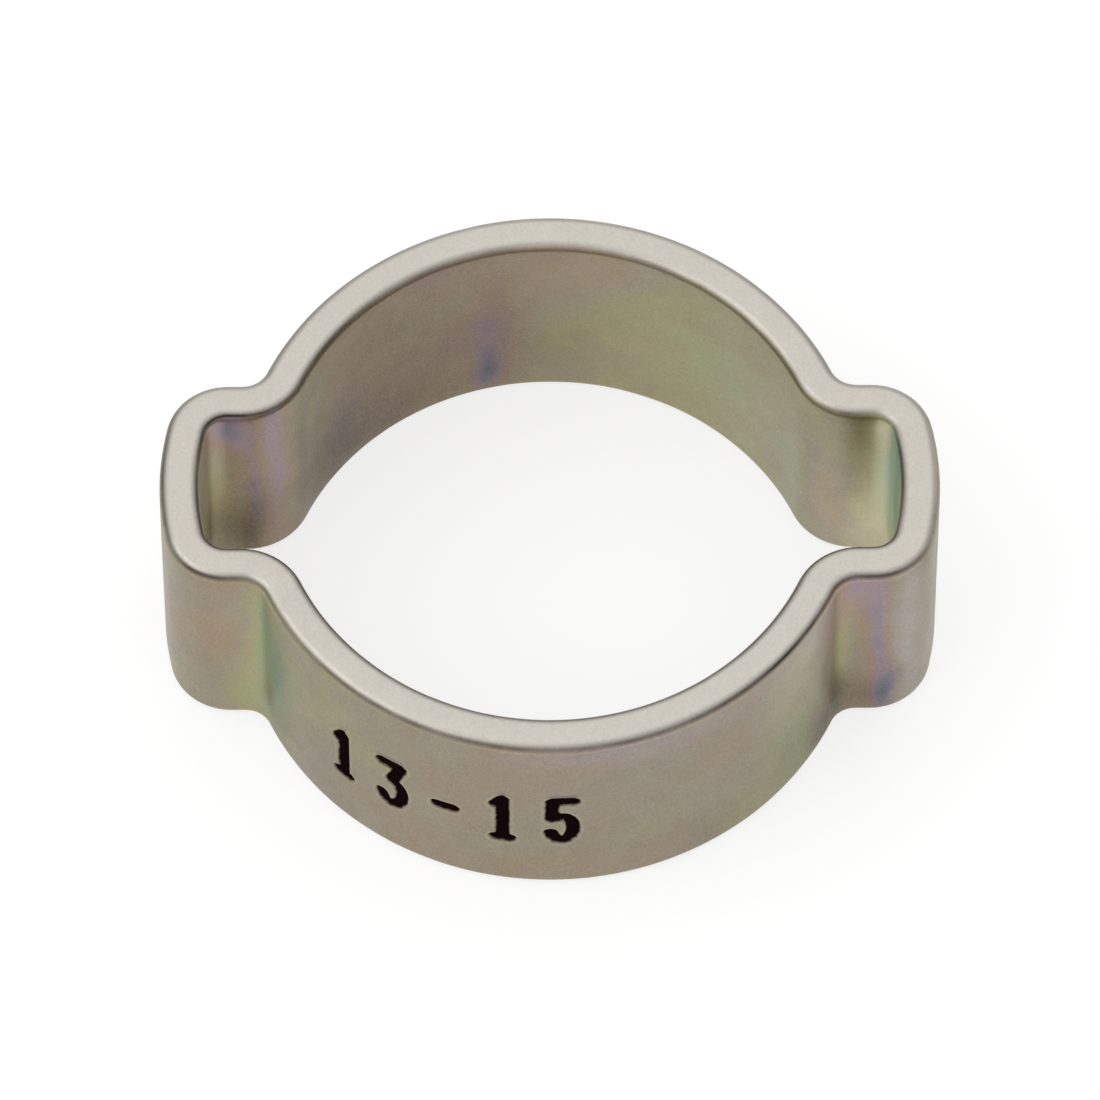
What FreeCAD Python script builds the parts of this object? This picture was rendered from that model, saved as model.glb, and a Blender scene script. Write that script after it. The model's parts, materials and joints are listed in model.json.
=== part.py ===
import FreeCAD, Part
import math
import os

# Two-ear hose clamp for hoses of 13 to 15 mm outside diameter, as supplied, before its ears are pinched
# shut. It is one closed ring of steel with no seam: a slice of thin tube, whose wall is pressed outwards
# into two ears. The wall keeps its thickness through every bend, and tumbling has rounded the edges of the
# slice. The clamp's axis is Z, the slice rests on Z = 0, and the first ear points along +X. Sizes are in mm.

# Hose side of the round stretches between the ears.
BORE_DIAMETER = 15.0
WALL_THICKNESS = 1.1
# Width of the slice along the clamp's axis.
BAND_WIDTH = 7.4
EAR_COUNT = 2
# How far the crown of an ear stands out beyond the outside of the round stretches.
EAR_HEIGHT = 2.15
# Clear width between the two side walls of an ear.
EAR_GAP = 4.1
# Outside surface of the bend where a round stretch turns out into an ear.
NECK_BEND_RADIUS = 0.75
# Inside surface of the bend where an ear's side wall turns into its crown.
SHOULDER_BEND_RADIUS = 0.6
# Outside surface of the crown, the end wall of an ear, which bulges a little.
CROWN_RADIUS = 8.5
# Rounding that tumbling leaves on the cut edges.
EDGE_RADIUS = 0.3
# The most of the wall that one rounded edge can take, so that a flat is left between the two.
EDGE_SHARE_OF_WALL = 0.45

BORE_RADIUS = BORE_DIAMETER / 2
FULL_TURN = 2 * math.pi
QUARTER_TURN = FULL_TURN / 4
# An edge whose height is less than this lies in one of the two cut faces.
FLAT_TOLERANCE = 1e-6


def point(centre, radius, angle):
    """The point at a distance and an angle from a centre, in the plane of the ring."""
    return centre + FreeCAD.Vector(radius * math.cos(angle), radius * math.sin(angle), 0)


def arc(centre, radius, start, end):
    """The arc about a centre from one angle to another, through the angle half way between them."""
    first, middle, last = [point(centre, radius, angle) for angle in (start, (start + end) / 2, end)]
    return Part.Arc(first, middle, last).toShape()


def angle_of(vector):
    """The direction of a vector in the plane of the ring."""
    return math.atan2(vector.y, vector.x)


class Ear:
    """The bends of the ear that points along +X, as centres and angles that both surfaces share.

    The upper half of the ear runs from the crown round the shoulder bend, along the side wall, which is
    parallel to X, and through the neck bend to the round stretch. The lower half mirrors it.
    """

    def __init__(self):
        outside_radius = BORE_RADIUS + WALL_THICKNESS
        self.axis = FreeCAD.Vector(0, 0, 0)

        # The neck bend rolls on the outside of the round stretch, and its inner surface meets the gap.
        neck_height = EAR_GAP / 2 + WALL_THICKNESS + NECK_BEND_RADIUS
        neck_distance = outside_radius + NECK_BEND_RADIUS
        self.neck = FreeCAD.Vector(math.sqrt(neck_distance**2 - neck_height**2), neck_height, 0)

        # The shoulder bend lies in the corner between the ear's gap and the inner surface of the crown.
        self.crown = FreeCAD.Vector(outside_radius + EAR_HEIGHT - CROWN_RADIUS, 0, 0)
        shoulder_height = EAR_GAP / 2 - SHOULDER_BEND_RADIUS
        shoulder_distance = CROWN_RADIUS - WALL_THICKNESS - SHOULDER_BEND_RADIUS
        shoulder_reach = math.sqrt(shoulder_distance**2 - shoulder_height**2)
        self.shoulder = self.crown + FreeCAD.Vector(shoulder_reach, shoulder_height, 0)

        self.neck_angle = angle_of(self.neck)
        self.shoulder_angle = angle_of(self.shoulder - self.crown)

    def edges(self, depth):
        """The ear's outline on the surface that lies a depth outside the hose side of the wall.

        The edges run anticlockwise, and take in half of the round stretch on each side of the ear.
        """
        neck_radius = NECK_BEND_RADIUS + WALL_THICKNESS - depth
        shoulder_radius = SHOULDER_BEND_RADIUS + depth
        crown_radius = CROWN_RADIUS - WALL_THICKNESS + depth

        crown = arc(self.crown, crown_radius, -self.shoulder_angle, self.shoulder_angle)
        shoulder = arc(self.shoulder, shoulder_radius, self.shoulder_angle, QUARTER_TURN)
        side_start = point(self.shoulder, shoulder_radius, QUARTER_TURN)
        side_end = point(self.neck, neck_radius, -QUARTER_TURN)
        side = Part.LineSegment(side_start, side_end).toShape()
        neck = arc(self.neck, neck_radius, -QUARTER_TURN, self.neck_angle - FULL_TURN / 2)
        half_stretch = arc(self.axis, BORE_RADIUS + depth, self.neck_angle, FULL_TURN / EAR_COUNT / 2)

        upper = [shoulder, side, neck, half_stretch]
        lower = [edge.mirror(self.axis, FreeCAD.Vector(0, 1, 0)) for edge in reversed(upper)]
        return lower + [crown] + upper


def outline(ear, depth):
    """The ring's closed outline at a depth outside the hose side: its ears and the stretches between."""
    edges = []
    for number in range(EAR_COUNT):
        turn = math.degrees(number * FULL_TURN / EAR_COUNT)
        for edge in ear.edges(depth):
            edge.rotate(ear.axis, FreeCAD.Vector(0, 0, 1), turn)
            edges.append(edge)
    return Part.Wire(edges)


def clamp_band():
    """The whole clamp: the slice between the two outlines, with all its cut edges rounded."""
    ear = Ear()
    section = Part.Face(outline(ear, WALL_THICKNESS)).cut(Part.Face(outline(ear, 0))).Faces[0]
    slice_of_tube = section.extrude(FreeCAD.Vector(0, 0, BAND_WIDTH))
    cut_edges = [edge for edge in slice_of_tube.Edges if edge.BoundBox.ZLength < FLAT_TOLERANCE]
    edge_radius = min(EDGE_RADIUS, EDGE_SHARE_OF_WALL * WALL_THICKNESS)
    return slice_of_tube.makeFillet(edge_radius, cut_edges)


def main():
    """Builds the clamp and writes it as one STEP file."""
    band = clamp_band()
    os.makedirs("parts", exist_ok=True)
    band.exportStep("parts/clamp_band.step")
    print("solids", len(band.Solids), "valid", band.isValid(), "volume", round(band.Volume, 2), "mm3")


main()
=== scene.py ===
"""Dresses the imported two-ear hose clamp: zinc-plated, passivated steel with a plain size mark in ink.

The band is swept along its own centreline by a Geometry Nodes tree, which also presses the figures of the
size mark into its front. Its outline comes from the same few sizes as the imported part, so it fills the same
space. Lengths are in millimetres until a mesh, a light or the camera is made, which take metres.
"""

import json
import logging
import math
from collections.abc import Iterator
from dataclasses import dataclass
from enum import Enum
from functools import partial

import bpy
from mathutils import Color, Matrix, Vector


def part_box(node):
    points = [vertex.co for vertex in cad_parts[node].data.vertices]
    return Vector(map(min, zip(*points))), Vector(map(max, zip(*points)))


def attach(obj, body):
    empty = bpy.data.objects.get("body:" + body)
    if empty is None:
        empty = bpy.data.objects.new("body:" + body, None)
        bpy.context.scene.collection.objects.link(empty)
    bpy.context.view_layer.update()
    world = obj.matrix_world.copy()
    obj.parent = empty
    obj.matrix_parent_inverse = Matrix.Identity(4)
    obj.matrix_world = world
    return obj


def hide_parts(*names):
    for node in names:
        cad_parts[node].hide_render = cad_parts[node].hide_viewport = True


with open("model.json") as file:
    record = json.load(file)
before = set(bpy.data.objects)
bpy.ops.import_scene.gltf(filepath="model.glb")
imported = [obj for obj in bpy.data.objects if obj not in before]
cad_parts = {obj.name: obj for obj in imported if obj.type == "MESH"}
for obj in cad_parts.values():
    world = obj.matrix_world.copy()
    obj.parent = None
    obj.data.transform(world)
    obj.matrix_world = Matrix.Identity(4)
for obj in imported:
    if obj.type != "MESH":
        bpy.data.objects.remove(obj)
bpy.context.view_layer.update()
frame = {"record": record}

# Metres in a millimetre.
MM = 0.001
QUARTER_TURN = math.pi / 2
CAD_NODE = "clamp_band"
PIECE = "clamp_band_plated"

# A screen colour's channel at its fullest.
FULL_CHANNEL = 255

log = logging.getLogger("hose_clamp")


def linear(shade: tuple[int, int, int]) -> tuple[float, float, float]:
    """Turns a screen colour into the linear colour that a shader takes.

    Args:
        shade: Red, green and blue from 0 to 255, as a screen shows them.

    Returns:
        The linear red, green and blue.
    """
    screen = Color([channel / FULL_CHANNEL for channel in shade])
    red, green, blue = screen.from_srgb_to_scene_linear()
    return (red, green, blue)


def add_object(name: str, data: bpy.types.ID) -> bpy.types.Object:
    """Makes an object and links it to the scene.

    Args:
        name: The object's name.
        data: Its mesh, light or camera.

    Returns:
        The object.
    """
    thing = bpy.data.objects.new(name, data)
    bpy.context.scene.collection.objects.link(thing)
    return thing


class Field:
    """A node's output socket, with arithmetic that adds Math nodes to the socket's tree."""

    def __init__(self, bench: "Bench", socket: bpy.types.NodeSocket) -> None:
        """Keeps the socket and the bench that made it."""
        self.bench = bench
        self.socket = socket

    def math(self, operation: str, *operands: "Operand") -> "Field":
        """Adds one Math node.

        Args:
            operation: The Math node's operation.
            operands: The values of its sockets, in order.

        Returns:
            The node's result.
        """
        sockets = dict(enumerate(operands))
        return self.bench.make("ShaderNodeMath", {"operation": operation}, sockets)

    def __add__(self, other: "Operand") -> "Field":
        """This value plus another."""
        return self.math("ADD", self, other)

    def __radd__(self, other: "Operand") -> "Field":
        """Another value plus this one."""
        return self.math("ADD", other, self)

    def __sub__(self, other: "Operand") -> "Field":
        """This value less another."""
        return self.math("SUBTRACT", self, other)

    def __rsub__(self, other: "Operand") -> "Field":
        """Another value less this one."""
        return self.math("SUBTRACT", other, self)

    def __mul__(self, other: "Operand") -> "Field":
        """This value times another."""
        return self.math("MULTIPLY", self, other)

    def __rmul__(self, other: "Operand") -> "Field":
        """Another value times this one."""
        return self.math("MULTIPLY", other, self)

    def __truediv__(self, other: "Operand") -> "Field":
        """This value over another."""
        return self.math("DIVIDE", self, other)

    def __rtruediv__(self, other: "Operand") -> "Field":
        """Another value over this one."""
        return self.math("DIVIDE", other, self)

    def __mod__(self, other: "Operand") -> "Field":
        """The remainder of this value over another."""
        return self.math("MODULO", self, other)

    def __neg__(self) -> "Field":
        """This value with its sign turned."""
        return self.math("MULTIPLY", self, -1.0)

    def __abs__(self) -> "Field":
        """This value without its sign."""
        return self.math("ABSOLUTE", self)

    def at_least(self, floor: "Operand") -> "Field":
        """The larger of this value and another."""
        return self.math("MAXIMUM", self, floor)

    def hump(self, centre: "Operand", reach: float) -> "Field":
        """A smooth hump of height 1 at a centre, which has fallen to a third at its reach."""
        offset = (self - centre) / reach
        return self.math("EXPONENT", -(offset * offset))

    def rise(self, start: "Operand", end: "Operand") -> "Field":
        """A smooth rise from 0 at the start to 1 at the end, or a fall where the end comes first.

        Args:
            start: The value at which the rise begins.
            end: The value at which it is complete.

        Returns:
            The rise, between 0 and 1.
        """
        settings = {"interpolation_type": "SMOOTHSTEP"}
        return self.bench.make("ShaderNodeMapRange", settings, {0: self, 1: start, 2: end})


Operand = Field | float | tuple[float, ...]


class Bench:
    """Adds nodes to one tree, a shader's or a Geometry Nodes one."""

    COLUMNS = 12
    SPACING = (220, 260)
    # The value that a noise wavers about.
    NOISE_MIDDLE = 0.5

    def __init__(self, tree: bpy.types.NodeTree) -> None:
        """Keeps the tree."""
        self.tree = tree

    @classmethod
    def cleared(cls, owner: bpy.types.Material | bpy.types.World) -> "Bench":
        """Takes out the nodes that a material or a world came with.

        Args:
            owner: The material or the world.

        Returns:
            A bench on its empty tree.
        """
        owner.use_nodes = True
        owner.node_tree.nodes.clear()
        return cls(owner.node_tree)

    def feed(self, socket: bpy.types.NodeSocket, value: Operand) -> None:
        """Links a field to a socket, or sets the socket to a plain value; a colour is made opaque."""
        if isinstance(value, Field):
            self.tree.links.new(value.socket, socket)
        elif socket.type == "RGBA":
            socket.default_value = (*value, 1.0)
        else:
            socket.default_value = value

    def node(self, kind: str, settings: dict | None = None, sockets: dict | None = None) -> bpy.types.Node:
        """Adds one node, with its settings made before its sockets are filled.

        Args:
            kind: The node's type.
            settings: Its properties by name, and "stops" for the stops of a colour ramp.
            sockets: Values or fields by the name or the number of the input socket.

        Returns:
            The node.
        """
        node = self.tree.nodes.new(kind)
        place = len(self.tree.nodes) - 1
        node.location = (place % self.COLUMNS * self.SPACING[0], -(place // self.COLUMNS) * self.SPACING[1])
        for name, value in (settings or {}).items():
            if name == "stops":
                self.fill_ramp(node.color_ramp, value)
            else:
                setattr(node, name, value)
        for key, value in (sockets or {}).items():
            self.feed(node.inputs[key], value)
        return node

    def make(
        self, kind: str, settings: dict | None = None, sockets: dict | None = None, output: int | str = 0
    ) -> Field:
        """Adds one node and gives one of its outputs.

        Args:
            kind: The node's type.
            settings: Its properties by name.
            sockets: Values or fields by the name or the number of the input socket.
            output: The number or the name of the output.

        Returns:
            The output as a field.
        """
        return Field(self, self.node(kind, settings, sockets).outputs[output])

    @staticmethod
    def fill_ramp(ramp: bpy.types.ColorRamp, stops: list) -> None:
        """Gives a colour ramp its stops, each a place from 0 to 1 and a linear colour."""
        while len(ramp.elements) < len(stops):
            ramp.elements.new(1.0)
        for element, (place, colour) in zip(ramp.elements, stops):
            element.position = place
            element.color = (*colour, 1.0)

    def vector(self, operation: str, *operands: Operand, output: int = 0) -> Field:
        """Adds one Vector Math node; output 1 is the one that holds a number, such as a dot product."""
        return self.make("ShaderNodeVectorMath", {"operation": operation}, dict(enumerate(operands)), output)

    def scale(self, vector: Operand, amount: Operand) -> Field:
        """Multiplies a vector or a colour by a number."""
        return self.make("ShaderNodeVectorMath", {"operation": "SCALE"}, {0: vector, "Scale": amount})

    def blend(self, first: Operand, second: Operand, factor: Operand) -> Field:
        """Mixes two colours.

        Args:
            first: The colour at factor 0.
            second: The colour at factor 1.
            factor: How far the second colour counts.

        Returns:
            The mixed colour.
        """
        return self.make("ShaderNodeMix", {"data_type": "RGBA"}, {0: factor, 6: first, 7: second}, output=2)

    def noise(
        self, place: Field, scale: Operand, detail: float, shift: Operand, output: str = "Fac"
    ) -> Field:
        """A smooth noise about 0, mostly between -0.3 and 0.3.

        Args:
            place: The coordinates that it reads.
            scale: Its lumps for each unit of those coordinates.
            detail: How many finer layers it has.
            shift: A number that gives another pattern.
            output: "Fac" for one number, "Color" for three that vary apart.

        Returns:
            The noise.
        """
        sockets = {"Vector": place, "W": shift, "Scale": scale, "Detail": detail}
        raw = self.make("ShaderNodeTexNoise", {"noise_dimensions": "4D"}, sockets, output)
        if output == "Fac":
            return raw - self.NOISE_MIDDLE
        return self.vector("SUBTRACT", raw, (self.NOISE_MIDDLE,) * 3)


@dataclass(frozen=True)
class Bend:
    """An arc of the band's centreline; a sweep below 0 curls away from the hose.

    The centre and the radius are in millimetres, the first angle and the sweep in radians.
    """

    centre: tuple[float, float]
    radius: float
    start: float
    sweep: float

    @property
    def length(self) -> float:
        """The arc's length."""
        return abs(self.sweep) * self.radius

    def at(self, along: float, outwards: float) -> tuple[float, float]:
        """Finds a point of the arc or beside it.

        Args:
            along: The distance along the arc.
            outwards: The distance off it, away from the hose.

        Returns:
            The point's X and Y.
        """
        angle = self.start + math.copysign(along / self.radius, self.sweep)
        reach = self.radius + outwards * math.copysign(1, self.sweep)
        return (self.centre[0] + reach * math.cos(angle), self.centre[1] + reach * math.sin(angle))


@dataclass(frozen=True)
class Straight:
    """A straight stretch of the centreline that runs towards -X, with the hose on its lower side."""

    start: tuple[float, float]
    length: float

    def at(self, along: float, outwards: float) -> tuple[float, float]:
        """The point some way along the stretch and some way off it, away from the hose."""
        return (self.start[0] - along, self.start[1] + outwards)


@dataclass(frozen=True)
class Loop:
    """The band's closed centreline, which starts at the middle of the +X crown and runs anticlockwise.

    The bore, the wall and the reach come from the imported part. The bends are the part's own named sizes: the
    clear width between the side walls of an ear, the outside radius of the neck bend, the inside radius of
    the shoulder bend, and the outside radius of the crown.
    """

    bore_radius: float
    wall: float
    reach: float
    ear_gap: float = 4.1
    neck_radius: float = 0.75
    shoulder_radius: float = 0.6
    crown_radius: float = 8.5
    longest_step: float = 0.15
    steps_in_radian: float = 9.0

    def quarter(self) -> list[Bend | Straight]:
        """Works out the tangent stretches from the crown's middle to the middle of the round stretch.

        Returns:
            The crown, the shoulder bend, the side wall, the neck bend and half of the round stretch.
        """
        half = self.wall / 2
        ring_radius = self.bore_radius + self.wall
        neck_y = self.ear_gap / 2 + self.wall + self.neck_radius
        neck_x = math.sqrt((ring_radius + self.neck_radius) ** 2 - neck_y**2)
        neck_angle = math.atan2(neck_y, neck_x)

        crown_x = self.reach - self.crown_radius
        shoulder_y = self.ear_gap / 2 - self.shoulder_radius
        shoulder_distance = self.crown_radius - self.wall - self.shoulder_radius
        shoulder_angle = math.asin(shoulder_y / shoulder_distance)
        shoulder_x = crown_x + shoulder_distance * math.cos(shoulder_angle)

        shoulder_bend = self.shoulder_radius + half
        side_start = (shoulder_x, shoulder_y + shoulder_bend)
        return [
            Bend((crown_x, 0), self.crown_radius - half, 0, shoulder_angle),
            Bend((shoulder_x, shoulder_y), shoulder_bend, shoulder_angle, QUARTER_TURN - shoulder_angle),
            Straight(side_start, shoulder_x - neck_x),
            Bend((neck_x, neck_y), self.neck_radius + half, -QUARTER_TURN, neck_angle - QUARTER_TURN),
            Bend((0, 0), self.bore_radius + half, neck_angle, QUARTER_TURN - neck_angle),
        ]

    @property
    def length(self) -> float:
        """The length of the whole centreline."""
        return 4 * sum(stretch.length for stretch in self.quarter())

    @property
    def round_share(self) -> float:
        """The centreline's radius over the outside one, on the round stretches."""
        return (self.bore_radius + self.wall / 2) / (self.bore_radius + self.wall)

    def place(self, run: float, outwards: float = 0.0) -> tuple[float, float]:
        """Finds a point from its run along the centreline.

        Args:
            run: The distance from the middle of the +X crown, anticlockwise.
            outwards: The distance off the centreline, away from the hose.

        Returns:
            The point's X and Y.
        """
        quarter = self.length / 4
        number, along = divmod(run % self.length, quarter)
        if number in (1, 3):
            along = quarter - along
        stretches = self.quarter()
        while along > stretches[0].length and len(stretches) > 1:
            along -= stretches.pop(0).length
        x, y = stretches[0].at(min(along, stretches[0].length), outwards)
        return (-x if number in (1, 2) else x, -y if number in (2, 3) else y)

    def stations(self, fine_from: float, fine_to: float, fine_step: float) -> list[float]:
        """Spaces the cross-sections of the band, closer in tight bends and closest behind the size mark.

        Args:
            fine_from: The run at which the close spacing starts.
            fine_to: The run at which it ends.
            fine_step: The close spacing.

        Returns:
            The runs of the cross-sections, in order.
        """
        quarter: list[float] = []
        passed = 0.0
        for stretch in self.quarter():
            tight = stretch.radius / self.steps_in_radian if isinstance(stretch, Bend) else self.longest_step
            count = math.ceil(stretch.length / min(tight, self.longest_step))
            quarter += [passed + stretch.length * step / count for step in range(count)]
            passed += stretch.length
        runs = quarter + [passed] + [2 * passed - run for run in reversed(quarter)]
        runs = runs[:-1] + [2 * passed + run for run in runs[:-1]]
        spaced: list[float] = []
        for here, after in zip(runs, runs[1:] + [4 * passed]):
            inside = fine_from < (here + after) / 2 < fine_to
            count = math.ceil((after - here) / fine_step) if inside else 1
            spaced += [here + (after - here) * step / count for step in range(count)]
        return spaced


Stroke = list[tuple[float, float]]

# The straight steps of a round stroke.
CURL_STEPS = 12


def curl(centre: tuple[float, float], radii: tuple[float, float], first: float, last: float) -> Stroke:
    """Draws a round stroke as part of an ellipse.

    Args:
        centre: The ellipse's centre.
        radii: Its half width and half height.
        first: The angle at which the stroke starts, in degrees, anticlockwise from the right.
        last: The angle at which it ends.

    Returns:
        The stroke's points.
    """
    angles = [math.radians(first + (last - first) * step / CURL_STEPS) for step in range(CURL_STEPS + 1)]
    return [(centre[0] + radii[0] * math.cos(a), centre[1] + radii[1] * math.sin(a)) for a in angles]


class Figure(Enum):
    """The figures of the size mark as strokes, in heights of a figure about its middle."""

    ONE = ([(-0.09, 0.36), (0.0, 0.5), (0.0, -0.5)], [(-0.09, -0.5), (0.09, -0.5)])
    THREE = ([(-0.15, 0.5), (0.15, 0.5), (0.0, 0.1), *curl((0.0, -0.2), (0.16, 0.3), 75, -160)],)
    DASH = ([(-0.11, 0.0), (0.11, 0.0)],)
    FIVE = ([(0.16, 0.5), (-0.12, 0.5), (-0.13, 0.06), *curl((0.0, -0.19), (0.155, 0.31), 120, -160)],)


@dataclass(frozen=True)
class SizeMark:
    """The clamp's hose range, pressed into the front of the band and inked. It names nothing but the size."""

    figures: tuple[Figure, ...] = (Figure.ONE, Figure.THREE, Figure.DASH, Figure.ONE, Figure.FIVE)
    middle_run: float = 40.2
    middle_height: float = 3.47
    pitch: float = 1.635
    figure_height: float = 2.08
    stroke_width: float = 0.39
    press_depth: float = 0.07
    press_slope: float = 0.07
    longest_step: float = 0.15
    fine_reach: float = 0.72

    @property
    def fine_runs(self) -> tuple[float, float]:
        """The runs along the centreline between which the band's cross-sections stand closer."""
        half = self.pitch * len(self.figures) / 2
        return (self.middle_run - half, self.middle_run + half)

    @property
    def fine_heights(self) -> tuple[float, float]:
        """The heights between which the band's rows stand closer, a little past the figures."""
        half = self.figure_height * self.fine_reach
        return (self.middle_height - half, self.middle_height + half)

    def strokes(self) -> Iterator[Stroke]:
        """Gives every stroke in millimetres, as runs on the outside surface and heights above the floor."""
        for number, figure in enumerate(self.figures):
            centre = (number - (len(self.figures) - 1) / 2) * self.pitch
            for stroke in figure.value:
                yield [(centre + x * self.figure_height, y * self.figure_height) for x, y in stroke]

    def build(self, loop: Loop) -> bpy.types.Object:
        """Wraps the strokes round the outside of the band, as edges for the band's tree to measure from.

        Args:
            loop: The band's centreline.

        Returns:
            An object that holds the strokes and nothing else.
        """
        points: list[tuple[float, float, float]] = []
        edges: list[tuple[int, int]] = []
        for stroke in self.strokes():
            for (x0, y0), (x1, y1) in zip(stroke, stroke[1:]):
                steps = max(1, math.ceil(math.hypot(x1 - x0, y1 - y0) / self.longest_step))
                for step in range(steps + 1):
                    share = step / steps
                    run = self.middle_run + (x0 + (x1 - x0) * share) * loop.round_share
                    x, y = loop.place(run, loop.wall / 2)
                    height = self.middle_height + y0 + (y1 - y0) * share
                    points.append((x * MM, y * MM, height * MM))
                    if step:
                        edges.append((len(points) - 2, len(points) - 1))
        mesh = bpy.data.meshes.new("mark_strokes")
        mesh.from_pydata(points, edges, [])
        return add_object("mark_strokes", mesh)


class Trace(Enum):
    """The attributes that the band's mesh carries for its finish."""

    # 0 on the cut faces, 1 on the hose side and the outside, and the share of the turn on a rounded edge.
    ROLL = "roll"
    # 1 on the outside, -1 on the hose side.
    SIDE = "side"
    # Distance to the nearest stroke of the size mark, in metres.
    INK = "ink"


@dataclass(frozen=True)
class Band:
    """The whole clamp as one closed piece, swept along the centreline with rounded edges."""

    # A point past this share of the wall from its middle lies on one of its two large surfaces.
    SURFACE = 0.499
    # Whole numbers count as equal when they are closer than this.
    SAME_NUMBER = 0.5

    loop: Loop
    mark: SizeMark
    width: float
    edge_radius: float = 0.3
    edge_steps: int = 8
    wall_rows: int = 17
    figure_rows: int = 11
    fine_step: float = 0.045
    ripple: float = 0.012
    ripple_size: float = 1.6
    seed: float = 4.0

    def centreline(self) -> bpy.types.Object:
        """Builds the closed centreline as a ring of edges at half the band's width.

        Returns:
            The object that becomes the band.
        """
        runs = self.loop.stations(*self.mark.fine_runs, self.fine_step)
        points = [(*self.loop.place(run), self.width / 2) for run in runs]
        edges = [(number, (number + 1) % len(runs)) for number in range(len(runs))]
        mesh = bpy.data.meshes.new(PIECE)
        mesh.from_pydata([tuple(part * MM for part in point) for point in points], edges, [])
        return add_object(PIECE, mesh)

    def inputs(self, strokes: bpy.types.Object, finish: bpy.types.Material) -> dict[str, tuple[str, object]]:
        """Names the tree's inputs.

        Args:
            strokes: The size mark's strokes.
            finish: The band's material.

        Returns:
            Each input's kind of socket and its value, by name.
        """
        figure_low, figure_high = self.mark.fine_heights
        return {
            "Wall": ("NodeSocketFloat", self.loop.wall * MM),
            "Width": ("NodeSocketFloat", self.width * MM),
            "Edge Radius": ("NodeSocketFloat", self.edge_radius * MM),
            "Edge Steps": ("NodeSocketInt", self.edge_steps),
            "Wall Rows": ("NodeSocketInt", self.wall_rows),
            "Figure Rows": ("NodeSocketInt", self.figure_rows),
            "Figure Low": ("NodeSocketFloat", figure_low * MM),
            "Figure High": ("NodeSocketFloat", figure_high * MM),
            "Strokes": ("NodeSocketObject", strokes),
            "Stroke Width": ("NodeSocketFloat", self.mark.stroke_width * MM),
            "Press Depth": ("NodeSocketFloat", self.mark.press_depth * MM),
            "Press Slope": ("NodeSocketFloat", self.mark.press_slope * MM),
            "Ripple": ("NodeSocketFloat", self.ripple * MM),
            "Ripple Size": ("NodeSocketFloat", self.ripple_size * MM),
            "Seed": ("NodeSocketFloat", self.seed),
            "Finish": ("NodeSocketMaterial", finish),
        }

    def section(self, bench: Bench, entry: dict[str, Field]) -> Field:
        """Draws the wall's cross-section: X points away from the hose, Y along the clamp's axis.

        Args:
            bench: The tree's bench.
            entry: The tree's inputs by name.

        Returns:
            A closed curve that carries the roll and the side.
        """
        sides = {"Width": entry["Wall"], "Height": entry["Width"]}
        rectangle = bench.make("GeometryNodeCurvePrimitiveQuadrilateral", {"mode": "RECTANGLE"}, sides)
        rounding = {"Curve": rectangle, "Count": entry["Edge Steps"], "Radius": entry["Edge Radius"]}
        rounded = bench.make("GeometryNodeFilletCurve", {"mode": "POLY"}, rounding)

        place = bench.node("ShaderNodeSeparateXYZ", None, {0: bench.make("GeometryNodeInputPosition")})
        across = Field(bench, place.outputs["X"])
        height = Field(bench, place.outputs["Y"])
        number = bench.make("GeometryNodeInputIndex")
        in_corner = number % (entry["Edge Steps"] + 1)
        leaves_corner = number.math("COMPARE", in_corner, entry["Edge Steps"], self.SAME_NUMBER)
        surface = entry["Wall"] * self.SURFACE
        on_wall = across.math("GREATER_THAN", abs(across), surface)
        rows = {"Curve": rounded, "Cuts": leaves_corner * on_wall * (entry["Wall Rows"] - 1)}
        rowed = bench.make("GeometryNodeSubdivideCurve", None, rows)

        lift = entry["Width"] / 2 - height
        outer = across.math("GREATER_THAN", across, surface)
        above = lift.math("GREATER_THAN", lift, entry["Figure Low"])
        below = lift.math("LESS_THAN", lift, entry["Figure High"])
        finer = {"Curve": rowed, "Cuts": outer * above * below * (entry["Figure Rows"] - 1)}
        refined = bench.make("GeometryNodeSubdivideCurve", None, finer)

        turn_across = (abs(across) - (entry["Wall"] / 2 - entry["Edge Radius"])).at_least(0.0)
        turn_height = (abs(height) - (entry["Width"] / 2 - entry["Edge Radius"])).at_least(0.0)
        roll = across.math("ARCTAN2", turn_across, turn_height) / QUARTER_TURN
        side = across / (entry["Wall"] / 2)
        return self.keep(bench, self.keep(bench, refined, Trace.ROLL, roll), Trace.SIDE, side)

    @staticmethod
    def keep(bench: Bench, geometry: Field, trace: Trace, value: Field) -> Field:
        """Stores a field on a geometry's points.

        Args:
            bench: The tree's bench.
            geometry: The geometry.
            trace: The attribute that takes the field.
            value: The field.

        Returns:
            The geometry with the attribute.
        """
        settings = {"data_type": "FLOAT", "domain": "POINT"}
        sockets = {"Geometry": geometry, "Name": trace.value, "Value": value}
        return bench.make("GeometryNodeStoreNamedAttribute", settings, sockets)

    def tree(self, inputs: dict[str, tuple[str, object]]) -> bpy.types.NodeTree:
        """Builds the tree that sweeps the band and presses its figures.

        Args:
            inputs: The kinds and values of the named inputs.

        Returns:
            The tree.
        """
        group = bpy.data.node_groups.new("sweep_band", "GeometryNodeTree")
        group.interface.new_socket("Geometry", in_out="INPUT", socket_type="NodeSocketGeometry")
        group.interface.new_socket("Geometry", in_out="OUTPUT", socket_type="NodeSocketGeometry")
        for name, (kind, _) in inputs.items():
            group.interface.new_socket(name, in_out="INPUT", socket_type=kind)
        bench = Bench(group)
        start = bench.node("NodeGroupInput")
        entry = {socket.name: Field(bench, socket) for socket in start.outputs if socket.name}

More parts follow.
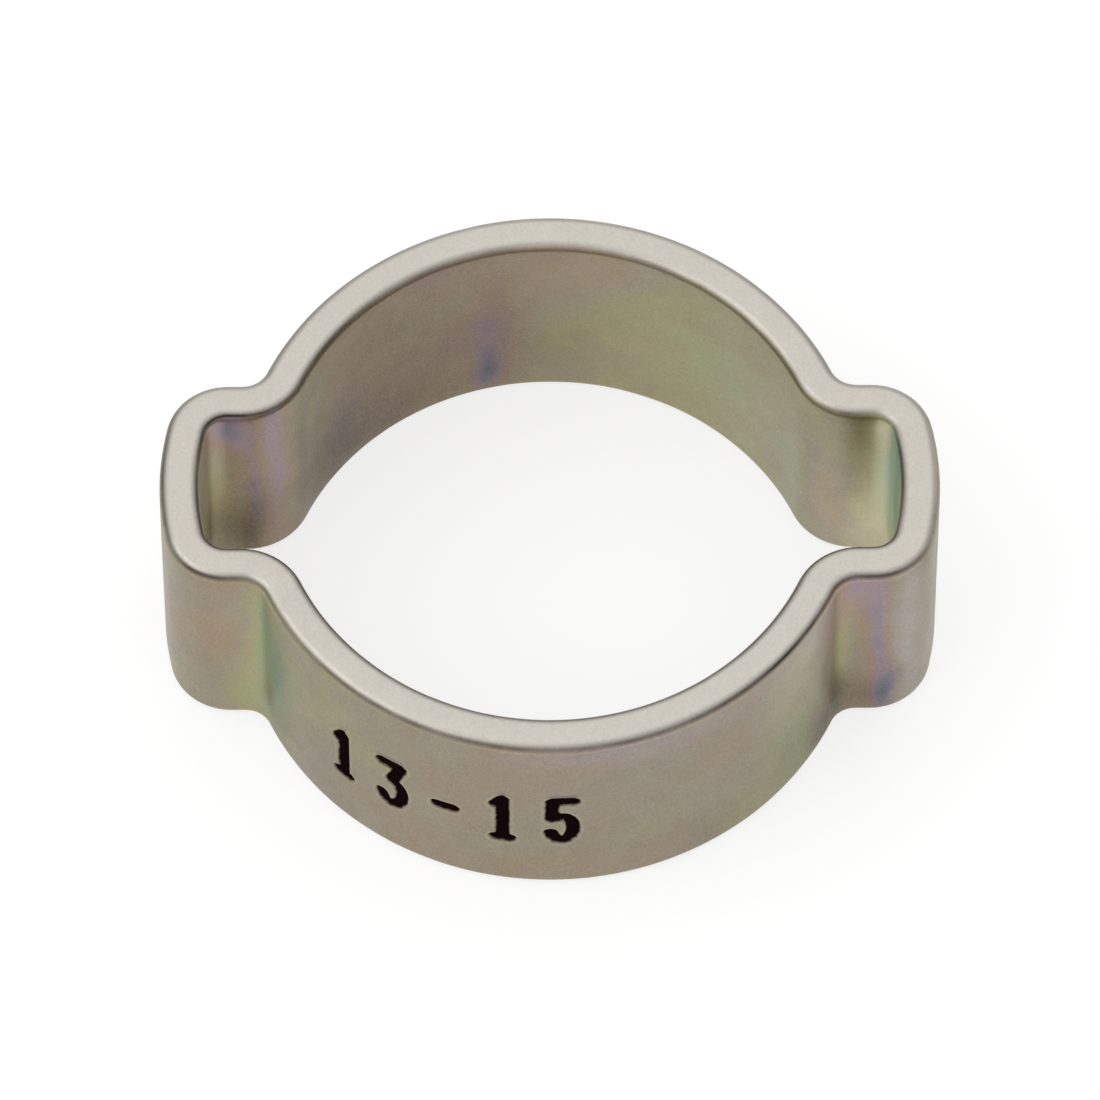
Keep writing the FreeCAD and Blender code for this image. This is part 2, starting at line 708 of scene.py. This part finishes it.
        line = bench.make("GeometryNodeMeshToCurve", None, {"Mesh": entry["Geometry"]})
        path = bench.make("GeometryNodeSetCurveNormal", {"mode": "Z_UP"}, {"Curve": line})
        swept = {"Curve": path, "Profile Curve": self.section(bench, entry)}
        band = bench.make("GeometryNodeCurveToMesh", None, swept)

        strokes = bench.make("GeometryNodeObjectInfo", None, {"Object": entry["Strokes"]}, output="Geometry")
        edges = {"target_element": "EDGES"}
        near = bench.make("GeometryNodeProximity", edges, {0: strokes}, output="Distance")
        inked = self.keep(bench, band, Trace.INK, near)

        half = entry["Stroke Width"] / 2
        pressed = near.rise(half + entry["Press Slope"] / 2, half - entry["Press Slope"] / 2)
        place = bench.make("GeometryNodeInputPosition")
        waves = bench.noise(place, 1 / entry["Ripple Size"], 1.0, entry["Seed"])
        outwards = waves * entry["Ripple"] - pressed * entry["Press Depth"]
        normal = bench.make("GeometryNodeInputNormal")
        moved = {"Geometry": inked, "Offset": bench.scale(normal, outwards)}
        shaped = bench.make("GeometryNodeSetPosition", None, moved)

        smooth = bench.make("GeometryNodeSetShadeSmooth", None, {"Geometry": shaped})
        real = bench.make("GeometryNodeRealizeInstances", None, {"Geometry": smooth})
        dressed = {"Geometry": real, "Material": entry["Finish"]}
        bench.node("NodeGroupOutput", None, {0: bench.make("GeometryNodeSetMaterial", None, dressed)})
        return group

    def build(self, finish: bpy.types.Material) -> bpy.types.Object:
        """Makes the band as a plain mesh.

        Args:
            finish: Its material.

        Returns:
            The band, with its place in its mesh.
        """
        strokes = self.mark.build(self.loop)
        band = self.centreline()
        inputs = self.inputs(strokes, finish)
        sweep = band.modifiers.new("sweep_band", "NODES")
        sweep.node_group = self.tree(inputs)
        for item in sweep.node_group.interface.items_tree:
            if item.in_out == "INPUT" and item.name in inputs:
                sweep[item.identifier] = inputs[item.name][1]
        bpy.context.view_layer.update()

        evaluated = band.evaluated_get(bpy.context.evaluated_depsgraph_get())
        mesh = bpy.data.meshes.new_from_object(evaluated)
        mesh.name = PIECE
        band.modifiers.clear()
        band.data = mesh
        bpy.data.objects.remove(strokes)
        return band


class Face(Enum):
    """The two large surfaces of the band, by the sign of their side."""

    OUTSIDE = 1.0
    HOSE_SIDE = -1.0


@dataclass(frozen=True)
class Bloom:
    """A soft patch of film thinner or thicker, duller or barer than around it, or of painted shade or light.

    The run and the height place its middle. It has faded to a third at its reach along the band, and at
    tall above and below. All four are in millimetres. Film counts along the film's shades. The dullness
    darkens (brightens, below 0): a duller film, and also painted shade in the neck folds and near the floor
    and painted light inside the ears. Bare shows the zinc through (a straw stain, below 0), and line
    strengthens the painted dark reflection along the edges.
    """

    face: Face
    run: float
    height: float
    reach: float
    tall: float
    film: float = 0.0
    dull: float = 0.0
    bare: float = 0.0
    line: float = 0.0


# Thin film is green to olive, the usual film a warm grey, and thick film goes through mauve to a blue green.
FILM_SHADES = (
    (0.00, (121, 149, 131)),
    (0.12, (129, 147, 115)),
    (0.24, (145, 149, 111)),
    (0.34, (151, 145, 110)),
    (0.44, (149, 140, 121)),
    (0.54, (154, 137, 114)),
    (0.64, (153, 132, 120)),
    (0.74, (149, 132, 137)),
    (0.84, (131, 123, 139)),
    (0.93, (110, 119, 129)),
    (1.00, (107, 129, 125)),
)

# The height of the middle of a patch that lies along the top edge, and one that spans the whole band.
TOP = 7.4
EDGE_TALL = 20.0

outside = partial(Bloom, Face.OUTSIDE)
hose_side = partial(Bloom, Face.HOSE_SIDE)

# Where the film differs: it pooled and drained in the bends when the clamps were lifted from the bath.
# Some blooms' dullness is painted shade, darker in the neck folds and near the floor, and painted light,
# brighter inside the ears.
BLOOMS = (
    # The outside of the left ear.
    outside(31.6, 4.0, 0.7, 9.0, 0.04, -0.03),
    outside(32.2, 5.6, 0.6, 2.4, 0.05, -0.14),
    outside(32.6, 1.8, 0.7, 2.4, -0.12, -0.22),
    outside(33.2, 4.4, 0.45, 4.0, -0.09, -0.12),
    outside(34.0, 4.6, 0.65, 5.0, -0.24, -0.02),
    outside(33.95, 1.9, 0.45, 1.1, -0.03, 0.26),
    outside(34.6, 3.2, 0.5, 2.8, -0.12, 0.24),
    outside(33.8, 1.0, 0.5, 1.2, 0.0, 0.2),
    outside(35.8, 3.6, 1.6, 5.0, -0.09, 0.1, 0.05),
    # The front.
    outside(45.2, 6.9, 4.0, 0.7, 0.2, -0.04, 0.6),
    outside(44.8, 4.4, 3.4, 3.0, 0.06, 0.0, 0.15),
    outside(50.2, 6.2, 1.6, 2.8, -0.08, -0.15, 0.2),
    outside(50.4, 1.8, 1.3, 2.4, -0.14, 0.17),
    outside(49.0, 3.4, 1.4, 2.6, -0.1, 0.05),
    outside(51.4, 1.6, 0.6, 2.2, 0.06, 0.28, -0.2),
    outside(51.0, 6.8, 0.6, 0.9, 0.05, -0.16, 0.3),
    outside(47.5, 1.0, 1.2, 0.9, 0.04, 0.12),
    outside(51.65, 3.8, 0.22, 1.0, 0.06, 0.14),
    # The right neck, and the outside of the right ear, darker low down by the fold as painted shade.
    outside(51.8, 6.4, 0.45, 2.0, 0.14, -0.06),
    outside(52.2, 1.4, 0.55, 1.7, 0.0, 0.27, -0.32),
    outside(51.9, 0.8, 0.7, 1.2, 0.04, 0.24, -0.5),
    outside(51.8, 2.5, 0.5, 1.1, 0.04, 0.03, -0.2),
    outside(52.35, 4.6, 0.35, 1.8, 0.0, 0.05, -0.28),
    outside(52.45, 2.0, 0.2, 1.5, -0.16, 0.2),
    outside(52.8, 4.0, 0.34, 1.9, -0.16, -0.18),
    outside(53.2, 0.8, 1.3, 1.2, 0.08, 0.2),
    outside(53.6, 6.6, 0.6, 1.4, 0.22, -0.16),
    outside(54.18, 4.4, 0.28, 3.2, 0.3, -0.02, 0.1),
    outside(54.35, 1.0, 0.35, 1.6, 0.38, 0.2),
    outside(53.9, 1.0, 0.4, 1.0, 0.08, 0.14),
    outside(55.4, 1.6, 0.5, 1.4, 0.06, -0.06, 0.6),
    outside(54.75, 4.2, 0.5, 5.0, 0.04, -0.2, 0.8),
    outside(55.1, 7.0, 0.4, 0.8, 0.0, 0.2),
    # The hose side of the right ear, brightened inside as painted light.
    hose_side(0.7, 5.4, 1.0, 3.4, -0.46, -0.1),
    hose_side(1.65, 4.2, 0.5, 5.0, -0.26, -0.72, 0.12),
    hose_side(3.05, 3.4, 0.62, 5.0, -0.06, -0.62, 0.1),
    hose_side(2.6, 6.8, 0.6, 0.8, 0.0, -0.3, 0.2),
    hose_side(2.3, 4.4, 0.34, 3.2, 0.0, 0.1, 0.2),
    hose_side(3.5, 1.2, 0.9, 1.5, -0.08, -0.4, 0.1),
    hose_side(3.5, 6.6, 0.35, 1.5, -0.05, 0.33, -0.34),
    hose_side(4.2, 3.6, 0.65, 4.4, 0.03, -0.3),
    hose_side(5.4, 2.2, 0.9, 2.4, -0.16, -0.04, 0.2),
    # The hose side at the back.
    hose_side(7.6, 3.0, 1.6, 5.0, -0.09, -0.08, 0.2),
    hose_side(11.2, 3.2, 3.2, 7.0, -0.08, -0.2),
    hose_side(13.4, 6.8, 3.0, 1.6, 0.12, -0.04, 0.1),
    hose_side(14.2, 2.0, 1.8, 1.6, 0.0, 0.08, -0.14),
    hose_side(16.1, 3.2, 0.7, 2.4, 0.18, 0.13),
    hose_side(16.2, 1.0, 0.45, 1.1, 0.34, 0.1),
    hose_side(17.9, 7.0, 1.6, 1.2, 0.12, -0.04, 0.2),
    hose_side(19.4, 3.6, 3.4, 8.0, 0.09, 0.17, -0.1),
    hose_side(20.0, 1.0, 3.4, 2.4, 0.03, 0.22),
    hose_side(21.8, 1.6, 0.9, 2.0, 0.12, 0.26),
    hose_side(20.8, 3.2, 1.2, 5.0, 0.0, 0.09, -0.12),
    hose_side(22.9, 4.4, 1.0, 4.0, -0.14, 0.18, -0.36),
    hose_side(23.2, 1.5, 0.7, 2.2, 0.05, 0.22, -0.2),
    hose_side(23.6, 5.2, 0.3, 3.4, 0.0, 0.24),
    # The left neck, and the hose side of the left ear, brightened inside the ear as painted light.
    hose_side(24.3, 5.2, 0.42, 5.0, 0.3, -0.18, 0.15),
    hose_side(24.8, 4.0, 0.25, 2.4, 0.32, 0.12),
    hose_side(24.9, 1.0, 0.5, 1.8, 0.1, 0.32, -0.05),
    hose_side(25.15, 5.3, 0.4, 1.4, 0.2, 0.0),
    hose_side(25.12, 6.9, 0.45, 1.3, 0.3, -0.74),
    hose_side(25.85, 6.8, 0.42, 0.8, 0.3, 0.1),
    hose_side(24.5, 6.6, 0.5, 1.8, 0.12, 0.0),
    hose_side(25.5, 3.8, 0.45, 1.2, 0.12, 0.04, -0.2),
    hose_side(26.4, 2.6, 0.4, 0.9, -0.04, 0.1, -0.3),
    hose_side(26.9, 3.6, 0.5, 1.4, 0.0, -0.26),
    hose_side(26.0, 5.8, 1.5, 2.2, -0.06, -0.36),
    hose_side(26.3, 3.8, 1.2, 2.4, -0.1, -0.06),
    hose_side(25.6, 1.5, 1.15, 1.5, 0.0, 0.3, -0.36),
    hose_side(26.9, 6.9, 0.4, 0.7, 0.18, -0.16),
    # The outside at the back, and the hose side at the front.
    outside(3.3, 3.0, 0.3, 3.6, 0.26, -0.06),
    outside(4.7, 4.4, 0.4, 2.4, -0.16, -0.1),
    outside(6.4, 1.6, 0.9, 2.2, -0.1, 0.12),
    outside(23.2, 3.4, 0.6, 4.6, -0.2, 0.04),
    outside(25.0, 5.2, 0.5, 2.6, 0.2, -0.08),
    outside(15.0, 6.6, 3.4, 0.9, 0.16, -0.04, 0.2),
    hose_side(31.3, 4.8, 0.5, 3.2, 0.26, -0.1),
    hose_side(33.0, 2.8, 0.8, 3.6, -0.14, 0.1),
    hose_side(52.5, 4.2, 0.6, 4.4, -0.18, 0.06),
    hose_side(54.5, 3.4, 0.35, 4.0, 0.26, -0.04),
    # Stretches where the painted dark reflection along the edges is stronger or weaker.
    outside(0.5, TOP, 3.5, EDGE_TALL, line=-0.36),
    outside(13.5, TOP, 8.0, EDGE_TALL, line=-0.16),
    outside(28.6, TOP, 2.0, EDGE_TALL, line=0.18),
    outside(31.5, TOP, 1.1, EDGE_TALL, line=0.26),
    outside(50.0, TOP, 2.4, EDGE_TALL, line=0.46),
    outside(54.2, TOP, 0.9, EDGE_TALL, line=0.34),
    hose_side(0.0, TOP, 1.6, EDGE_TALL, line=0.1),
    hose_side(22.0, TOP, 2.2, EDGE_TALL, line=0.36),
    hose_side(25.6, TOP, 1.6, EDGE_TALL, line=0.54),
    hose_side(11.5, TOP, 4.5, EDGE_TALL, line=-0.2),
    hose_side(42.5, TOP, 8.0, EDGE_TALL, line=-0.22),
    hose_side(30.2, TOP, 1.4, EDGE_TALL, line=0.2),
)


@dataclass(frozen=True)
class Mottle:
    """A smooth noise with lumps of one size in millimetres, some finer layers and a seed of its own."""

    size: float
    layers: float
    seed: float

    def read(self, bench: Bench, place: Field, output: str = "Fac") -> Field:
        """Reads the noise at a place in millimetres; "Color" gives three values that vary apart."""
        return bench.noise(place, 1 / self.size, self.layers, self.seed, output)


@dataclass(frozen=True)
class PassivatedZinc:
    """Zinc plate under a thin iridescent film and an inked mark, with sheared faces paler partly as painted
    light, and painted shade, a painted dark reflection and a painted highlight along the edges.

    A roll is a share of the turn from the cut face, at 0, to the wall's large surfaces, at 1. A bloom counts
    in full from the full side on. Lengths are in millimetres.
    """

    loop: Loop
    mark: SizeMark
    # The sheared metal's own paler tone, made paler still as painted light for the light that the top faces
    # catch from above.
    cut_face: tuple[int, int, int] = (216, 211, 201)
    bare_zinc: tuple[int, int, int] = (157, 151, 147)
    straw: tuple[int, int, int] = (150, 129, 70)
    ink: tuple[int, int, int] = (27, 13, 16)
    usual_film: float = 0.44
    full_side: float = 0.9

    drift: Mottle = Mottle(3.2, 1.0, 2.0)
    drift_film: float = 0.42
    cloud: Mottle = Mottle(0.9, 2.0, 5.0)
    cloud_film: float = 0.16
    cloud_dull: float = 0.12
    cloud_rough: float = 0.10
    cloud_bump: float = 0.5
    grain: Mottle = Mottle(0.075, 2.0, 9.0)
    grain_dull: float = 0.5
    grain_rough: float = 0.15
    warp: Mottle = Mottle(1.6, 1.0, 15.0)
    warp_reach: float = 0.6

    shear: Mottle = Mottle(1 / 1.4, 3.0, 12.0)
    shear_dull: float = 0.10
    shear_grain: float = 0.25
    wall_rolls: tuple[float, float] = (0.2, 0.7)

    # Along the rounded edges the dark line is a painted reflection of the dark surroundings, the shoulder a
    # painted shade on the cut face's side, and the lip a painted highlight on the wall's side.
    wander: Mottle = Mottle(1 / 0.9, 2.0, 21.0)
    edge_reflection_line: float = 0.41
    edge_line_outside: float = 0.05
    edge_line_wander: float = 0.8
    edge_roll: float = 0.51
    edge_roll_wander: float = 0.10
    edge_reach: float = 0.15
    shoulder: float = 0.25
    shoulder_roll: float = 0.29
    shoulder_reach: float = 0.15
    lip_highlight: float = 0.16
    lip_wander: float = 0.5
    lip_roll: float = 0.86
    lip_reach: float = 0.08

    bleed: Mottle = Mottle(0.2, 2.0, 30.0)
    bleed_reach: float = 0.09
    ink_softness: float = 0.03
    rim_offset: float = 0.07
    rim_reach: float = 0.045
    rim_shine: float = 0.16

    metal: float = 0.9
    roughness: float = 0.42
    cut_roughness: float = 0.36
    rough_rolls: tuple[float, float] = (0.1, 0.9)
    ink_roughness: float = 0.62
    ink_shine: float = 0.0
    bump_strength: float = 0.12
    bump_height: float = 0.02

    def bloom(self, bench: Bench, place: Field, side: Field, bloom: Bloom) -> Field:
        """Fades a bloom out from its middle.

        Args:
            bench: The material's bench.
            place: The point in millimetres.
            side: The side of the wall that the point is on.
            bloom: The patch.

        Returns:
            1 at the middle of the bloom and 0 far away or on the other face.
        """
        face = bloom.face.value
        x, y = self.loop.place(bloom.run, face * self.loop.wall / 2)
        offset = bench.vector("SUBTRACT", place, (x, y, bloom.height))
        scaled = bench.vector("MULTIPLY", offset, (1 / bloom.reach, 1 / bloom.reach, 1 / bloom.tall))
        square = bench.vector("DOT_PRODUCT", scaled, scaled, output=1)
        return square.math("EXPONENT", -square) * (side * face).rise(0.0, self.full_side)

    def build(self) -> bpy.types.Material:
        """Builds the material.

        Returns:
            The finish of the whole clamp.
        """
        material = bpy.data.materials.new("zinc_passivate")
        bench = Bench.cleared(material)
        trace = {
            name: bench.make("ShaderNodeAttribute", {"attribute_name": name.value}, None, output="Fac")
            for name in Trace
        }
        place = bench.scale(bench.make("ShaderNodeTexCoord", None, None, output="Object"), 1 / MM)
        roll = trace[Trace.ROLL]
        ink = trace[Trace.INK] / MM
        cloud = self.cloud.read(bench, place)
        grain = self.grain.read(bench, place)

        sums = self.film(bench, place, trace[Trace.SIDE], cloud, grain)
        stops = [(at, linear(shade)) for at, shade in FILM_SHADES]
        tint = bench.make("ShaderNodeValToRGB", {"stops": stops}, {"Fac": sums["film"]})
        worn = bench.blend(tint, linear(self.bare_zinc), sums["bare"])
        stained = bench.blend(worn, linear(self.straw), -sums["bare"])
        # The dullness darkens the wall. Besides the film's own mottle, it holds painted shade in the folds and
        # near the floor and painted light inside the ears.
        wall = bench.scale(stained, 1 - sums["dull"])
        sheared = self.shear.read(bench, place) * self.shear_dull + grain * self.shear_grain
        cut = bench.scale(linear(self.cut_face), 1 - sheared)
        metal = bench.blend(cut, wall, roll.rise(*self.wall_rolls))
        # Painted shade, a painted dark reflection and a painted highlight along the rounded edges.
        edge_shaded = bench.scale(metal, self.edges(bench, place, roll, sums["line"]))

        half = self.mark.stroke_width / 2
        bleed = ink + self.bleed.read(bench, place) * self.bleed_reach
        inked = bleed.rise(half + self.ink_softness, half - self.ink_softness)
        # A painted highlight: a brighter ring round each figure of the size mark.
        rim = ink.hump(half + self.rim_offset, self.rim_reach) * (1 - inked)
        marked = bench.scale(edge_shaded, 1 + rim * self.rim_shine)

        turned = roll.rise(*self.rough_rolls)
        polish = turned * (self.roughness - self.cut_roughness) + self.cut_roughness
        rough = polish + cloud * self.cloud_rough + grain * self.grain_rough
        height = grain + cloud * self.cloud_bump
        relief = {"Strength": self.bump_strength, "Distance": self.bump_height * MM, "Height": height}
        bump = bench.make("ShaderNodeBump", None, relief)
        surface = {"Base Color": marked, "Metallic": self.metal, "Roughness": rough, "Normal": bump}
        plate = bench.make("ShaderNodeBsdfPrincipled", None, surface)
        coat = {
            "Base Color": linear(self.ink),
            "Metallic": 0.0,
            "Roughness": self.ink_roughness,
            "Specular IOR Level": self.ink_shine,
            "Normal": bump,
        }
        paint = bench.make("ShaderNodeBsdfPrincipled", None, coat)
        shader = bench.make("ShaderNodeMixShader", None, {0: inked, 1: plate, 2: paint})
        bench.node("ShaderNodeOutputMaterial", None, {"Surface": shader})
        return material

    def film(self, bench: Bench, place: Field, side: Field, cloud: Field, grain: Field) -> dict[str, Operand]:
        """Adds up the mottle and the blooms.

        Args:
            bench: The material's bench.
            place: The point in millimetres.
            side: The side of the wall that the point is on.
            cloud: The coarser mottle.
            grain: The finer mottle.

        Returns:
            The film, the dullness with painted shade and light, the bareness and the painted edge line's
            strength, by name.
        """
        drift = self.drift.read(bench, place)
        swirl = self.warp.read(bench, place, output="Color")
        warped = bench.vector("ADD", place, bench.scale(swirl, self.warp_reach))
        sums: dict[str, Operand] = {
            "film": drift * self.drift_film + cloud * self.cloud_film + self.usual_film,
            "dull": cloud * self.cloud_dull + grain * self.grain_dull,
            "bare": 0.0,
            "line": side * self.edge_line_outside + self.edge_reflection_line,
        }
        for bloom in BLOOMS:
            amount = self.bloom(bench, warped, side, bloom)
            for name, total in sums.items():
                share = getattr(bloom, name)
                if share:
                    sums[name] = amount * share + total
        return sums

    def edges(self, bench: Bench, place: Field, roll: Field, strength: Operand) -> Field:
        """Paints light and shade along the rounded edges: a dark line, a painted reflection of the dark
        surroundings, between a painted shade on the shoulder and a painted highlight on the lip.

        Args:
            bench: The material's bench.
            place: The point in millimetres.
            roll: How far round the edge the point is.
            strength: How dark the line is there.

        Returns:
            The number by which the metal's colour is multiplied.
        """
        wander = self.wander.read(bench, place)
        line = roll.hump(wander * self.edge_roll_wander + self.edge_roll, self.edge_reach)
        shoulder = roll.hump(self.shoulder_roll, self.shoulder_reach) * self.shoulder
        lip_highlight = roll.hump(self.lip_roll, self.lip_reach) * (wander * self.lip_wander + self.lip_highlight)
        return 1 - line * (wander * self.edge_line_wander + strength) - shoulder + lip_highlight


@dataclass(frozen=True)
class Studio:
    """A plain white table under plain soft light that comes a little from the left. Sizes are in metres."""

    floor_size: float = 1.2
    floor_colour: float = 0.32
    floor_glow: float = 0.74
    horizon: float = 0.85
    zenith: float = 1.12
    zenith_from: float = 0.9
    key_power: float = 1.6
    key_size: float = 0.7
    key_place: tuple[float, float, float] = (-0.55, -0.15, 0.6)

    def floor(self) -> bpy.types.Object:
        """Lays the floor, which glows just enough to show white to the camera and in the metal.

        Returns:
            The floor.
        """
        half = self.floor_size / 2
        corners = [(-half, -half, 0), (half, -half, 0), (half, half, 0), (-half, half, 0)]
        mesh = bpy.data.meshes.new("studio_floor")
        mesh.from_pydata(corners, [], [(0, 1, 2, 3)])
        material = bpy.data.materials.new("studio_paper")
        bench = Bench.cleared(material)
        rays = bench.node("ShaderNodeLightPath")
        seen = Field(bench, rays.outputs["Is Camera Ray"])
        for kind in ("Is Glossy Ray", "Is Transmission Ray"):
            seen = seen.at_least(Field(bench, rays.outputs[kind]))
        paper = bench.make("ShaderNodeBsdfDiffuse", None, {"Color": (self.floor_colour,) * 3})
        glow = bench.make("ShaderNodeEmission", None, {"Strength": seen * self.floor_glow})
        both = bench.make("ShaderNodeAddShader", None, {0: paper, 1: glow})
        bench.node("ShaderNodeOutputMaterial", None, {"Surface": both})
        mesh.materials.append(material)
        return add_object("studio_floor", mesh)

    def world(self) -> None:
        """Lights the scene from all round, a little more from above."""
        world = bpy.data.worlds.new("studio_light")
        bench = Bench.cleared(world)
        direction = bench.make("ShaderNodeTexCoord", None, None, output="Generated")
        height = Field(bench, bench.node("ShaderNodeSeparateXYZ", None, {0: direction}).outputs["Z"])
        level = height.rise(0.0, self.zenith_from) * (self.zenith - self.horizon) + self.horizon
        light = bench.make("ShaderNodeBackground", None, {"Strength": level})
        bench.node("ShaderNodeOutputWorld", None, {"Surface": light})
        bpy.context.scene.world = world

    def key(self) -> None:
        """Hangs the soft lamp to the left of the clamp."""
        light = bpy.data.lights.new("soft_lamp", "AREA")
        light.energy = self.key_power
        light.size = self.key_size
        place = Vector(self.key_place)
        turn = (-place).to_track_quat("-Z", "Y").to_matrix().to_4x4()
        add_object("soft_lamp", light).matrix_world = Matrix.Translation(place) @ turn

    def build(self) -> bpy.types.Object:
        """Sets up the whole studio.

        Returns:
            The floor.
        """
        self.world()
        self.key()
        bpy.context.scene.view_settings.view_transform = "Standard"
        return self.floor()


@dataclass(frozen=True)
class PhotoCamera:
    """The photograph's camera, which looks down on the middle of the band from the front.

    Angles are in degrees, and the distance is in millimetres. The scale is in pixels for each millimetre at
    that distance, and the offset is how far the band's middle sits right of and below the frame's middle.
    """

    target: tuple[float, float, float]
    azimuth: float = 0.017
    elevation: float = 59.45
    roll: float = 0.203
    distance: float = 400.0
    scale: float = 36.045
    frame_pixels: int = 1100
    offset_pixels: tuple[float, float] = (-0.089, -2.052)
    sensor: float = 36.0
    clip_factor: float = 10.0

    def build(self) -> bpy.types.Object:
        """Makes the scene's camera.

        Returns:
            The camera.
        """
        data = bpy.data.cameras.new("photo_camera")
        data.sensor_width = self.sensor
        data.lens = self.sensor * self.scale * self.distance / self.frame_pixels
        data.shift_x = -self.offset_pixels[0] / self.frame_pixels
        data.shift_y = self.offset_pixels[1] / self.frame_pixels
        data.clip_start = self.distance * MM / self.clip_factor
        data.clip_end = self.distance * MM * self.clip_factor

        azimuth, elevation = math.radians(self.azimuth), math.radians(self.elevation)
        level = math.cos(elevation)
        back = Vector((math.sin(azimuth) * level, -math.cos(azimuth) * level, math.sin(elevation)))
        turn = (-back).to_track_quat("-Z", "Y").to_matrix().to_4x4()
        roll = Matrix.Rotation(-math.radians(self.roll), 4, "Z")
        place = (Vector(self.target) + back * self.distance) * MM
        camera = add_object("photo_camera", data)
        camera.matrix_world = Matrix.Translation(place) @ turn @ roll
        bpy.context.scene.camera = camera
        return camera


def triangles(piece: bpy.types.Object) -> int:
    """Counts the triangles of a piece."""
    return sum(len(face.vertices) - 2 for face in piece.data.polygons)


def main() -> None:
    """Builds the clamp's finish, its band, the studio and the camera."""
    logging.basicConfig(level=logging.INFO, format="%(message)s")
    _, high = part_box(CAD_NODE)
    reach, outside_radius, width = (round(part / MM, 2) for part in high)
    seat = next(mount for mount in frame["record"]["mounts"] if mount["name"] == "hose_seat")
    bore_radius = seat["dims"]["r_mm"]
    loop = Loop(bore_radius=bore_radius, wall=outside_radius - bore_radius, reach=reach)
    mark = SizeMark()
    finish = PassivatedZinc(loop, mark).build()

    band = Band(loop, mark, width).build(finish)
    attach(band, "root")
    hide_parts(CAD_NODE)
    log.info("%s: %d triangles", band.name, triangles(band))

    floor = Studio().build()
    PhotoCamera(target=(0.0, 0.0, width / 2)).build()


if __name__ == "__main__":
    main()
